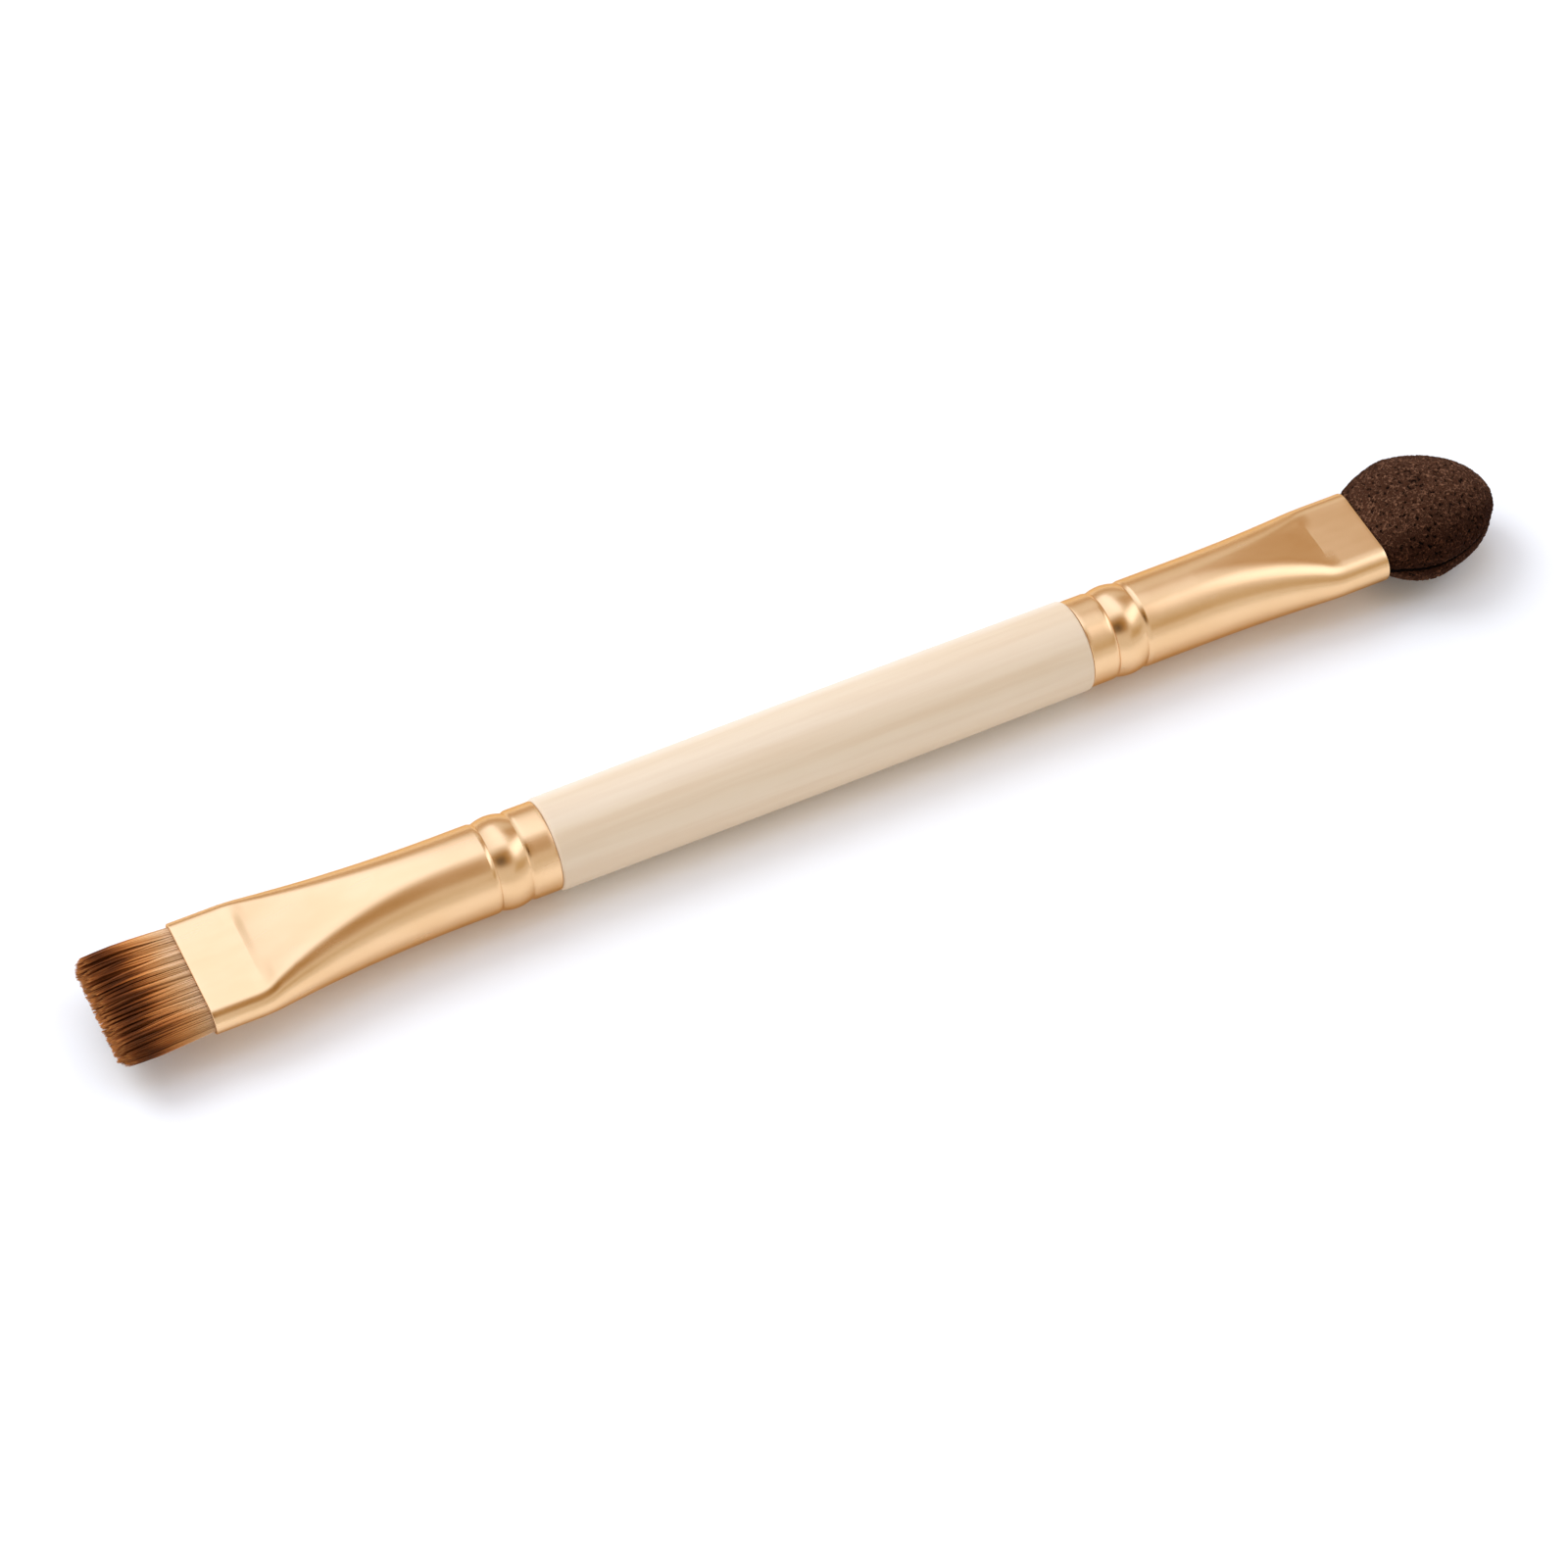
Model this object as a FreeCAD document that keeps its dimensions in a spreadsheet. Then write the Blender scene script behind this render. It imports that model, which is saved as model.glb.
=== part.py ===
import FreeCAD, Part
import math
import os
import Sketcher
from FreeCAD import Placement, Rotation, Vector

# A double-ended eyeshadow brush lying on a table. A turned and lacquered handle has a tenon at each end,
# and a drawn metal ferrule is glued on each tenon. One ferrule holds a flat tuft of bristles set in
# epoxy, the other a foam sponge of two halves bonded round a plastic core.
# X runs along the brush towards the sponge, Z is up, and the origin is on the table under mid length.
# Each end also has a frame of its own: it starts at the handle's shoulder, with X towards the tip.

SIZES = {
    # handle
    "handle_length": 53.3,
    "shoulder_step": 0.17,
    "belly_rise": 0.08,
    "shoulder_round": 0.35,
    "tenon_chamfer": 0.6,
    "tenon_clearance": 0.5,
    # both ferrules: tube, collar next to the handle, rolled bead between two grooves, pressed flat
    "tube_dia": 8.4,
    "wall": 0.3,
    "collar_length": 2.75,
    "collar_edge": 0.45,
    "bead_width": 2.95,
    "bead_rise": 0.14,
    "groove_depth": 0.15,
    "tube_shoulder": 1.0,
    "flat_length": 5.3,
    "apex_half_width": 0.27,
    "rim_round": 0.1,
    # each ferrule: straight tube, flare from round to flat, outer size of the flat mouth
    "brush_tube_length": 2.6,
    "brush_flare_length": 19.0,
    "brush_mouth_width": 12.3,
    "brush_mouth_height": 3.15,
    "sponge_tube_length": 5.1,
    "sponge_flare_length": 13.6,
    "sponge_mouth_width": 10.4,
    "sponge_mouth_height": 4.05,
    # glue
    "glue_gap": 0.1,
    "glue_inset": 0.4,
    "glue_cap": 0.6,
    # bristles and their epoxy
    "bristle_out": 8.8,
    "bristle_root": 9.5,
    "root_taper": 0.4,
    "bristle_gap": 0.05,
    "bristle_spread": 0.3,
    "bristle_swell": 0.2,
    "bristle_corner": 1.7,
    "bristle_tip_thickness": 2.2,
    "bristle_tip_round": 0.8,
    "epoxy_depth": 3.5,
    "epoxy_overrun": 2.0,
    # foam sponge
    "sponge_out": 13.6,
    "sponge_width": 12.9,
    "sponge_thickness": 9.3,
    "sponge_belly": 5.2,
    "sponge_tail": 4.8,
    "sponge_gap": 0.05,
    "seam_round": 0.4,
    "seam_bond": 0.1,
    # plastic core of the sponge and the glue round its shank
    "core_thickness": 1.2,
    "core_blade_width": 5.2,
    "core_reach": 8.0,
    "core_shank_width": 3.2,
    "core_shank_length": 4.0,
    "core_neck": 1.0,
    "core_gap": 0.05,
    "plug_length": 5.5,
}

BRUSH = "brush"
SPONGE = "sponge"
QUARTER = math.pi / 2

doc = FreeCAD.newDocument("eyeshadow_brush")
sheet = doc.addObject("Spreadsheet::Sheet", "Sizes")
for row, (alias, size) in enumerate(SIZES.items(), start=1):
    sheet.set(f"A{row}", alias)
    sheet.set(f"B{row}", str(size))
    sheet.setAlias(f"B{row}", alias)
doc.recompute()

# Stations along an end's own axis and the frame of each end, as expressions of the sheet's cells
TUBE_RADIUS = "Sizes.tube_dia / 2"
CRIMP_END = "Sizes.collar_length + Sizes.bead_width + Sizes.tube_shoulder"
FLARE_START = {end: f"({CRIMP_END} + Sizes.{end}_tube_length)" for end in (BRUSH, SPONGE)}
CREASE = {end: f"({FLARE_START[end]} + Sizes.{end}_flare_length)" for end in (BRUSH, SPONGE)}
MOUTH = {end: f"({CREASE[end]} + Sizes.flat_length)" for end in (BRUSH, SPONGE)}
TENON_LENGTH = {end: f"({FLARE_START[end]} - Sizes.tenon_clearance)" for end in (BRUSH, SPONGE)}
TENON_RADIUS = f"({TUBE_RADIUS} - Sizes.groove_depth - Sizes.wall - Sizes.glue_gap)"
HANDLE_RADIUS = f"({TUBE_RADIUS} + Sizes.shoulder_step)"
AXIS_HEIGHT = f"max({HANDLE_RADIUS} + Sizes.belly_rise; Sizes.sponge_thickness / 2)"
HANDLE_MIDDLE = f"({MOUTH[BRUSH]} + Sizes.bristle_out - {MOUTH[SPONGE]} - Sizes.sponge_out) / 2"
SHOULDER = {
    BRUSH: f"({HANDLE_MIDDLE} - Sizes.handle_length / 2)",
    SPONGE: f"({HANDLE_MIDDLE} + Sizes.handle_length / 2)",
}


def new_body(label, x, axis=Vector(0, 0, 1), turn=0):
    """A body whose own X axis lies on the brush's axis, with its origin at x and turned about axis."""
    body = doc.addObject("PartDesign::Body", label)
    body.Label = label
    body.Placement = Placement(Vector(), Rotation(axis, turn))
    body.setExpression("Placement.Base.x", x)
    body.setExpression("Placement.Base.z", AXIS_HEIGHT)
    return body


def end_body(label, end):
    return new_body(label, SHOULDER[end], turn=180 if end == BRUSH else 0)


def new_sketch(body, name, role, offset="0"):
    plane = next(feature for feature in body.Origin.OriginFeatures if feature.Role == role)
    sketch = body.newObject("Sketcher::SketchObject", name)
    sketch.AttachmentSupport = (plane, [""])
    sketch.MapMode = "FlatFace"
    sketch.setExpression("AttachmentOffset.Base.z", offset)
    return sketch


def number(sketch, expression):
    return float(sketch.evalExpression(expression))


def fix(sketch, kind, *elements):
    sketch.addConstraint(Sketcher.Constraint(kind, *elements))


def dimension(sketch, expression, kind, *elements):
    """A driving dimension bound to an expression of the sheet's cells."""
    value = number(sketch, expression)
    index = sketch.addConstraint(Sketcher.Constraint(kind, *elements, value))
    sketch.setExpression(f"Constraints[{index}]", expression)


def locate(sketch, geometry, point, x, y):
    """Dimension a point from the origin along both axes."""
    for kind, expression, axis in (("DistanceX", x, -2), ("DistanceY", y, -1)):
        value = number(sketch, expression)
        if value == 0:
            fix(sketch, "PointOnObject", geometry, point, axis)
        elif value > 0:
            dimension(sketch, expression, kind, -1, 1, geometry, point)
        else:
            dimension(sketch, f"-({expression})", kind, geometry, point, -1, 1)


def arc_of(start, end, radius):
    """Arc from start to end with its centre on the right of the way for a positive radius."""
    chord = end - start
    half = chord.Length / 2
    reach = math.sqrt(max(radius * radius - half * half, 0))
    right = Vector(chord.y, -chord.x, 0).normalize()
    centre = (start + end) / 2 + right * math.copysign(reach, radius)
    angles = [math.atan2(p.y - centre.y, p.x - centre.x) for p in (start, end)]
    first, last = reversed(angles) if radius > 0 else angles
    if last < first:
        last += 2 * math.pi
    return Part.ArcOfCircle(Part.Circle(centre, Vector(0, 0, 1), abs(radius)), first, last)


def outline(sketch, corners, arcs):
    """Closed outline through corners given as expressions. arcs gives, by corner, the radius of the arc
    that leaves it and the side of its centre: 1 is the right of the way, -1 the left."""
    points = [Vector(number(sketch, x), number(sketch, y), 0) for x, y in corners]
    starts = []
    ends = []
    for i, start in enumerate(points):
        end = points[(i + 1) % len(points)]
        if i in arcs:
            radius, side = arcs[i]
            piece = sketch.addGeometry(arc_of(start, end, side * number(sketch, radius)))
            dimension(sketch, radius, "Radius", piece)
            first, last = (2, 1) if side > 0 else (1, 2)
        else:
            piece = sketch.addGeometry(Part.LineSegment(start, end))
            first, last = 1, 2
        starts.append((piece, first))
        ends.append((piece, last))
    for i, (x, y) in enumerate(corners):
        fix(sketch, "Coincident", *ends[i - 1], *starts[i])
        locate(sketch, *starts[i], x, y)


def bulge_radius(chord, rise):
    """Radius of an arc over a chord with a given rise."""
    return f"(({chord})^2 / 4 + ({rise})^2) / (2 * ({rise}))"


def revolved(body, sketch):
    feature = body.newObject("PartDesign::Revolution", f"{body.Name}_turned")
    feature.Profile = sketch
    feature.ReferenceAxis = (sketch, ["H_Axis"])
    return feature


def lofted(body, sections, name, ruled=False):
    feature = body.newObject("PartDesign::AdditiveLoft", f"{body.Name}_{name}")
    feature.Profile = sections[0]
    feature.Sections = sections[1:]
    feature.Ruled = ruled
    return feature


def end_face_edges(feature, x):
    """Names of the outer edges of the flat face that closes a body at x of its own axis."""
    shape = feature.Shape
    plane = next(
        face
        for face in shape.Faces
        if face.BoundBox.XLength < 1e-6 and abs(face.BoundBox.XMin - x) < 1e-6
    )
    rim = plane.OuterWire.Edges
    return [f"Edge{i}" for i, edge in enumerate(shape.Edges, 1) if any(edge.isSame(e) for e in rim)]


def rounded(body, feature, stations, radius):
    """Round the rims of the end faces at the stations."""
    doc.recompute()
    names = [name for x in stations for name in end_face_edges(feature, number(sheet, x))]
    fillet = body.newObject("PartDesign::Fillet", f"{body.Name}_rim")
    fillet.Base = (feature, names)
    fillet.setExpression("Radius", radius)
    return fillet


def ring_section(body, name, at, radius):
    """A circle across the axis, divided as a stadium is: short top and bottom arcs and two round sides."""
    sketch = new_sketch(body, name, "YZ_Plane", at)
    size = number(sketch, radius)
    lean = math.asin(number(sketch, "Sizes.apex_half_width") / size)
    circle = Part.Circle(Vector(), Vector(0, 0, 1), size)
    turns = [QUARTER - lean, QUARTER + lean, 3 * QUARTER - lean, 3 * QUARTER + lean, 5 * QUARTER - lean]
    top, left, bottom, right = (
        sketch.addGeometry(Part.ArcOfCircle(circle, start, stop)) for start, stop in zip(turns, turns[1:])
    )
    for arc in (top, bottom):
        fix(sketch, "Coincident", arc, 3, -1, 1)
        fix(sketch, "Horizontal", arc, 1, arc, 2)
    fix(sketch, "Vertical", top, 1, bottom, 2)
    for before, after in ((top, left), (left, bottom), (bottom, right), (right, top)):
        fix(sketch, "Coincident", before, 2, after, 1)
    for arc in (left, bottom, right):
        fix(sketch, "Equal", top, arc)
    dimension(sketch, radius, "Radius", top)
    dimension(sketch, "Sizes.apex_half_width", "DistanceX", -1, 1, top, 1)
    return sketch


def stadium_section(body, name, at, half_width, half_height):
    """Two flats joined by two half rounds, across the axis."""
    sketch = new_sketch(body, name, "YZ_Plane", at)
    half_flat = f"{half_width} - ({half_height})"
    flat = number(sketch, half_flat)
    rise = number(sketch, half_height)
    normal = Vector(0, 0, 1)
    left_round = Part.Circle(Vector(-flat, 0, 0), normal, rise)
    right_round = Part.Circle(Vector(flat, 0, 0), normal, rise)
    top = sketch.addGeometry(Part.LineSegment(Vector(flat, rise, 0), Vector(-flat, rise, 0)))
    left = sketch.addGeometry(Part.ArcOfCircle(left_round, QUARTER, 3 * QUARTER))
    bottom = sketch.addGeometry(Part.LineSegment(Vector(-flat, -rise, 0), Vector(flat, -rise, 0)))
    right = sketch.addGeometry(Part.ArcOfCircle(right_round, -QUARTER, QUARTER))
    for before, after in ((top, left), (left, bottom), (bottom, right), (right, top)):
        fix(sketch, "Tangent", before, 2, after, 1)
    fix(sketch, "Horizontal", top)
    fix(sketch, "PointOnObject", right, 3, -1)
    fix(sketch, "Symmetric", left, 3, right, 3, -1, 1)
    dimension(sketch, half_height, "Radius", right)
    dimension(sketch, half_flat, "DistanceX", -1, 1, right, 3)
    return sketch


def flattened(end, share):
    """Outer half width and half height of a ferrule where its flattening has gone a share of the flare.
    The tube leaves its round form gently and is steepest where the press bit, at the crease."""
    half_width = f"({TUBE_RADIUS} + (Sizes.{end}_mouth_width - Sizes.tube_dia) / 2 * ({share})^2)"
    half_height = f"({TUBE_RADIUS} - (Sizes.tube_dia - Sizes.{end}_mouth_height) / 2 * ({share})^2)"
    return half_width, half_height


def ferrule_form(label, end, inset="0", overrun="0"):
    """The solid inside a ferrule's outer face, or inside its bore when inset by the wall. It is turned as
    far as the straight tube, then lofted from round to flat, then straight again to the mouth."""
    body = end_body(label, end)
    radius = f"({TUBE_RADIUS} - {inset})"
    valley = f"({radius} - Sizes.groove_depth)"
    bead_start = "Sizes.collar_length"
    bead_end = "(Sizes.collar_length + Sizes.bead_width)"
    lead = f"({FLARE_START[end]} - Sizes.{end}_tube_length / 2)"
    sketch = new_sketch(body, f"{label}_profile", "XZ_Plane")
    corners = [
        (f"-({overrun})", "0"),
        (f"-({overrun})", radius),
        (f"{bead_start} - Sizes.collar_edge", radius),
        (bead_start, valley),
        (bead_end, valley),
        (CRIMP_END, radius),
        (lead, radius),
        (lead, "0"),
    ]
    bead_height = "Sizes.bead_rise + Sizes.groove_depth"
    arcs = {
        2: (bulge_radius("2 * Sizes.collar_edge", "Sizes.groove_depth"), 1),
        3: (bulge_radius("Sizes.bead_width", bead_height), 1),
        4: (bulge_radius("2 * Sizes.tube_shoulder", "Sizes.groove_depth"), 1),
    }
    outline(sketch, corners, arcs)
    revolved(body, sketch)
    sections = [
        ring_section(body, f"{label}_lead", lead, radius),
        ring_section(body, f"{label}_round", FLARE_START[end], radius),
    ]
    for share in (0.35, 0.6, 0.8, 1):
        half_width, half_height = flattened(end, share)
        at = f"{FLARE_START[end]} + Sizes.{end}_flare_length * {share}"
        name = f"{label}_flare_{int(share * 100)}"
        section = stadium_section(body, name, at, f"({half_width} - {inset})", f"({half_height} - {inset})")
        sections.append(section)
    lofted(body, sections, "flare")
    flat = body.newObject("PartDesign::Pad", f"{label}_flat")
    flat.Profile = sections[-1]
    flat.setExpression("Length", f"Sizes.flat_length + {overrun}")
    return body, flat


def handle():
    """Turned handle: a very slight belly, rounded shoulders and a chamfered tenon at each end."""
    body = new_body("handle", HANDLE_MIDDLE)
    sketch = new_sketch(body, "handle_profile", "XZ_Plane")
    half = "Sizes.handle_length / 2"
    corners = []
    for end, sign in ((BRUSH, "-"), (SPONGE, "")):
        tip = f"({half} + {TENON_LENGTH[end]})"
        side = [
            (f"{sign}({tip})", "0"),
            (f"{sign}({tip})", f"{TENON_RADIUS} - Sizes.tenon_chamfer"),
            (f"{sign}({tip} - Sizes.tenon_chamfer)", TENON_RADIUS),
            (f"{sign}({half})", TENON_RADIUS),
            (f"{sign}({half})", f"{HANDLE_RADIUS} - Sizes.shoulder_round"),
            (f"{sign}({half} - Sizes.shoulder_round)", HANDLE_RADIUS),
        ]
        corners += side if end == BRUSH else side[::-1]
    arcs = {
        4: ("Sizes.shoulder_round", 1),
        5: (bulge_radius("Sizes.handle_length - 2 * Sizes.shoulder_round", "Sizes.belly_rise"), 1),
        6: ("Sizes.shoulder_round", 1),
    }
    outline(sketch, corners, arcs)
    revolved(body, sketch)
    return body


def boolean(kind, label, base, tool):
    result = doc.addObject(f"Part::{kind}", label)
    result.Label = label
    result.Base = base
    result.Tool = tool
    return result


def slab(label, end, start, stop):
    """A block across the brush between two stations of one end."""
    side = "(Sizes.brush_mouth_width + Sizes.sponge_mouth_width)"
    low = f"{SHOULDER[end]} + {start}" if end == SPONGE else f"{SHOULDER[end]} - ({stop})"
    block = doc.addObject("Part::Box", label)
    block.setExpression("Length", f"{stop} - ({start})")
    block.setExpression("Width", side)
    block.setExpression("Height", side)
    block.setExpression("Placement.Base.x", low)
    block.setExpression("Placement.Base.y", f"-{side} / 2")
    block.setExpression("Placement.Base.z", f"{AXIS_HEIGHT} - {side} / 2")
    return block


def ferrule(end):
    """A thin drawn shell: the outer form with its rims rounded, less the bore. Returns it and its bore."""
    outer, flat = ferrule_form(f"{end}_form", end)
    rounded(outer, flat, ("0", MOUTH[end]), "Sizes.rim_round")
    bore, _ = ferrule_form(f"{end}_bore", end, "Sizes.wall", "Sizes.wall")
    return boolean("Cut", f"{end}_ferrule", outer, bore), bore


def filling(label, end, bore, start, stop, inner):
    """What sets inside a ferrule between two stations, round the piece that it holds."""
    block = slab(f"{label}_block", end, start, stop)
    poured = boolean("Common", f"{label}_poured", bore, block)
    return boolean("Cut", label, poured, inner)


def bristle_tuft():
    """Flat tuft: its root tapers with the ferrule, its free length spreads and thins to a rounded tip."""
    body = end_body("bristle_tuft", BRUSH)
    inset = "(Sizes.wall + Sizes.bristle_gap)"
    width = f"(Sizes.brush_mouth_width / 2 - {inset})"
    depth = f"(Sizes.brush_mouth_height / 2 - {inset})"
    root_share = "1 - (Sizes.bristle_root - Sizes.flat_length) / Sizes.brush_flare_length"
    root_width, _ = flattened(BRUSH, root_share)
    root = stadium_section(
        body,
        "tuft_root",
        f"{MOUTH[BRUSH]} - Sizes.bristle_root",
        f"({root_width} - {inset} - Sizes.root_taper)",
        depth,
    )
    bend = stadium_section(body, "tuft_bend", CREASE[BRUSH], width, depth)
    neck = stadium_section(body, "tuft_neck", MOUTH[BRUSH], width, depth)
    lofted(body, [root, bend, neck], "root", ruled=True)
    tip = f"{MOUTH[BRUSH]} + Sizes.bristle_out"
    full_width = f"({width} + Sizes.bristle_spread)"
    full_depth = f"({depth} + Sizes.bristle_swell)"
    half_tip = "Sizes.bristle_tip_thickness / 2"
    sections = [
        neck,
        stadium_section(
            body, "tuft_belly", f"{MOUTH[BRUSH]} + Sizes.bristle_out / 2", full_width, full_depth
        ),
        stadium_section(
            body, "tuft_corner", f"{tip} - Sizes.bristle_corner", full_width, f"({half_tip} + {full_depth}) / 2"
        ),
        stadium_section(body, "tuft_tip", tip, f"({full_width} - Sizes.bristle_corner / 3)", half_tip),
    ]
    free = lofted(body, sections, "free")
    rounded(body, free, (tip,), "Sizes.bristle_tip_round")
    return body


def pad_section(body, name, at, half_width, height, seam):
    """Half of the sponge across the axis: flat at the seam, rounded edges there, full sides, a crown."""
    sketch = new_sketch(body, name, "YZ_Plane", at)
    width = number(sketch, half_width)
    crown = number(sketch, height)
    edge = number(sketch, seam)
    side_radius = f"0.75 * (({height}) - ({seam}))"
    side = number(sketch, side_radius)
    reach = width - side
    lift = crown - edge
    top = (reach**2 + lift**2 - side**2) / (2 * (lift - side))
    lean = math.atan2(top - lift, reach)
    normal = Vector(0, 0, 1)

    def arc(x, y, radius, start, stop):
        circle = Part.Circle(Vector(x, y, 0), normal, radius)
        return sketch.addGeometry(Part.ArcOfCircle(circle, start, stop))

    flat = width - edge
    base = sketch.addGeometry(Part.LineSegment(Vector(-flat, 0, 0), Vector(flat, 0, 0)))
    right_edge = arc(flat, edge, edge, -QUARTER, 0)
    right_side = arc(reach, edge, side, 0, lean)
    right_crown = arc(0, crown - top, top, lean, QUARTER)
    left_crown = arc(0, crown - top, top, QUARTER, 2 * QUARTER - lean)
    left_side = arc(-reach, edge, side, 2 * QUARTER - lean, 2 * QUARTER)
    left_edge = arc(-flat, edge, edge, 2 * QUARTER, 3 * QUARTER)
    way = [base, right_edge, right_side, right_crown, left_crown, left_side, left_edge]
    for before, after in zip(way, way[1:] + way[:1]):
        fix(sketch, "Tangent", before, 2, after, 1)
    fix(sketch, "PointOnObject", base, 1, -1)
    fix(sketch, "PointOnObject", base, 2, -1)
    fix(sketch, "Horizontal", right_edge, 2, right_edge, 3)
    fix(sketch, "Horizontal", left_edge, 1, left_edge, 3)
    fix(sketch, "Equal", right_edge, left_edge)
    fix(sketch, "Equal", right_side, left_side)
    fix(sketch, "PointOnObject", right_crown, 2, -2)
    fix(sketch, "PointOnObject", right_crown, 3, -2)
    half_base = f"({half_width}) - ({seam})"
    dimension(sketch, half_base, "DistanceX", -1, 1, base, 2)
    dimension(sketch, half_base, "DistanceX", base, 1, -1, 1)
    dimension(sketch, seam, "Radius", right_edge)
    dimension(sketch, side_radius, "Radius", right_side)
    dimension(sketch, height, "DistanceY", -1, 1, right_crown, 2)
    return sketch


def core_outline(sketch, gap):
    """Outline of the sponge's core in the seam plane: a shank, a neck and a round-ended blade."""
    shank = f"(Sizes.core_shank_width / 2 + {gap})"
    blade = f"(Sizes.core_blade_width / 2 + {gap})"
    mouth = MOUTH[SPONGE]
    tail = f"({mouth} - Sizes.sponge_tail - Sizes.core_shank_length - {gap})"
    neck = f"({mouth} + Sizes.core_neck)"
    round_start = f"({mouth} + Sizes.core_reach - Sizes.core_blade_width / 2)"
    upper = [(tail, shank), (mouth, shank), (neck, blade), (round_start, blade)]
    tip = (f"{round_start} + {blade}", "0")
    lower = [(x, f"-{y}") for x, y in reversed(upper)]
    outline(sketch, upper + [tip] + lower, {3: (blade, 1), 4: (blade, 1)})


def sponge_core():
    """Moulded plastic core that stiffens the sponge and anchors it in the ferrule."""
    body = end_body("sponge_core", SPONGE)
    sketch = new_sketch(body, "core_outline", "XY_Plane")
    core_outline(sketch, "0")
    blade = body.newObject("PartDesign::Pad", "core_blade")
    blade.Profile = sketch
    blade.SideType = "Symmetric"
    blade.setExpression("Length", "Sizes.core_thickness")
    return body


def sponge_half(label, turn):
    """One half of the foam sponge: a tail squeezed into the ferrule's mouth, an egg-shaped pad outside
    with rounded edges along the seam, and a pocket for half of the core. The bond line is between them."""
    lift = "Sizes.seam_bond / 2"
    body = new_body(label, SHOULDER[SPONGE], Vector(1, 0, 0), turn)
    body.setExpression("Placement.Base.z", f"{AXIS_HEIGHT} {'-' if turn else '+'} {lift}")
    inset = "(Sizes.wall + Sizes.sponge_gap)"
    tail_width = f"(Sizes.sponge_mouth_width / 2 - {inset})"
    tail_height = f"(Sizes.sponge_mouth_height / 2 - {inset} - {lift})"
    full_width = "Sizes.sponge_width / 2"
    full_height = f"(Sizes.sponge_thickness / 2 - {lift})"
    mouth = MOUTH[SPONGE]
    sections = [pad_section(body, f"{label}_mouth", mouth, tail_width, tail_height, "Sizes.seam_round")]
    for share in (0.15, 0.35, 0.65):
        left = f"(1 - {share})^2"
        sections.append(
            pad_section(
                body,
                f"{label}_swell_{int(share * 100)}",
                f"{mouth} + Sizes.sponge_belly * {share}",
                f"({full_width} - ({full_width} - {tail_width}) * {left})",
                f"({full_height} - ({full_height} - {tail_height}) * {left})",
                "Sizes.seam_round",
            )
        )
    nose = "(Sizes.sponge_out - Sizes.sponge_belly)"
    for angle in (0, 25, 45, 62, 76, 86):
        shrink = f"(cos({angle}) * (1 - 0.1 * sin({angle})))"
        sections.append(
            pad_section(
                body,
                f"{label}_nose_{angle}",
                f"{mouth} + Sizes.sponge_belly + {nose} * sin({angle})",
                f"({full_width} * {shrink})",
                f"({full_height} * {shrink})",
                f"(Sizes.seam_round * {shrink})",
            )
        )
    tip = new_sketch(body, f"{label}_tip", "YZ_Plane", f"{mouth} + Sizes.sponge_out")
    tip.addGeometry(Part.Point(Vector()))
    fix(tip, "Coincident", 0, 1, -1, 1)
    lofted(body, sections + [tip], "pad")
    tail_sketch = new_sketch(body, f"{label}_tail_outline", "YZ_Plane", mouth)
    tail_flat = f"({tail_width} - {tail_height})"
    corners = [
        (f"-{tail_width}", "0"),
        (f"-{tail_flat}", tail_height),
        (tail_flat, tail_height),
        (tail_width, "0"),
    ]
    outline(tail_sketch, corners, {0: (tail_height, 1), 2: (tail_height, 1)})
    tail = body.newObject("PartDesign::Pad", f"{label}_tail")
    tail.Profile = tail_sketch
    tail.Reversed = True
    tail.setExpression("Length", "Sizes.sponge_tail")
    doc.recompute()
    pocket_sketch = new_sketch(body, f"{label}_pocket_outline", "XY_Plane")
    core_outline(pocket_sketch, "Sizes.core_gap")
    pocket = body.newObject("PartDesign::Pocket", f"{label}_pocket")
    pocket.Profile = pocket_sketch
    pocket.Reversed = True
    pocket.setExpression("Length", "Sizes.core_thickness / 2 + Sizes.core_gap")
    doc.recompute()
    if pocket.Shape.Volume >= tail.Shape.Volume:
        raise RuntimeError(f"{label}: the pocket for the core cut nothing")
    return body


def tenon_glue(end, bore, wood):
    """Glue that fills the ferrule round the tenon, keys into the bead and caps the tenon's end."""
    stop = f"{TENON_LENGTH[end]} + Sizes.glue_cap"
    return filling(f"{end}_tenon_glue", end, bore, "Sizes.glue_inset", stop, wood)


wood = handle()
brush_ferrule, brush_bore = ferrule(BRUSH)
sponge_ferrule, sponge_bore = ferrule(SPONGE)
tuft = bristle_tuft()
core = sponge_core()
epoxy_start = f"{MOUTH[BRUSH]} - Sizes.bristle_root - Sizes.epoxy_overrun"
epoxy_stop = f"{MOUTH[BRUSH]} - Sizes.epoxy_depth"
plug_stop = f"{MOUTH[SPONGE]} - Sizes.sponge_tail"
plug_start = f"{plug_stop} - Sizes.plug_length"
pieces = [
    wood,
    brush_ferrule,
    sponge_ferrule,
    tuft,
    filling("bristle_epoxy_plug", BRUSH, brush_bore, epoxy_start, epoxy_stop, tuft),
    tenon_glue(BRUSH, brush_bore, wood),
    tenon_glue(SPONGE, sponge_bore, wood),
    core,
    sponge_half("sponge_upper_half", 0),
    sponge_half("sponge_lower_half", 180),
    filling("sponge_glue_plug", SPONGE, sponge_bore, plug_start, plug_stop, core),
]
doc.recompute()

for item in doc.Objects:
    if {"Invalid", "Error"} & set(item.State):
        raise RuntimeError(f"{item.Label} failed: {item.State}")
for piece in pieces:
    shape = piece.Shape
    if shape.isNull() or not shape.isValid() or len(shape.Solids) != 1:
        raise RuntimeError(f"{piece.Label} is not one valid solid")

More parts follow.
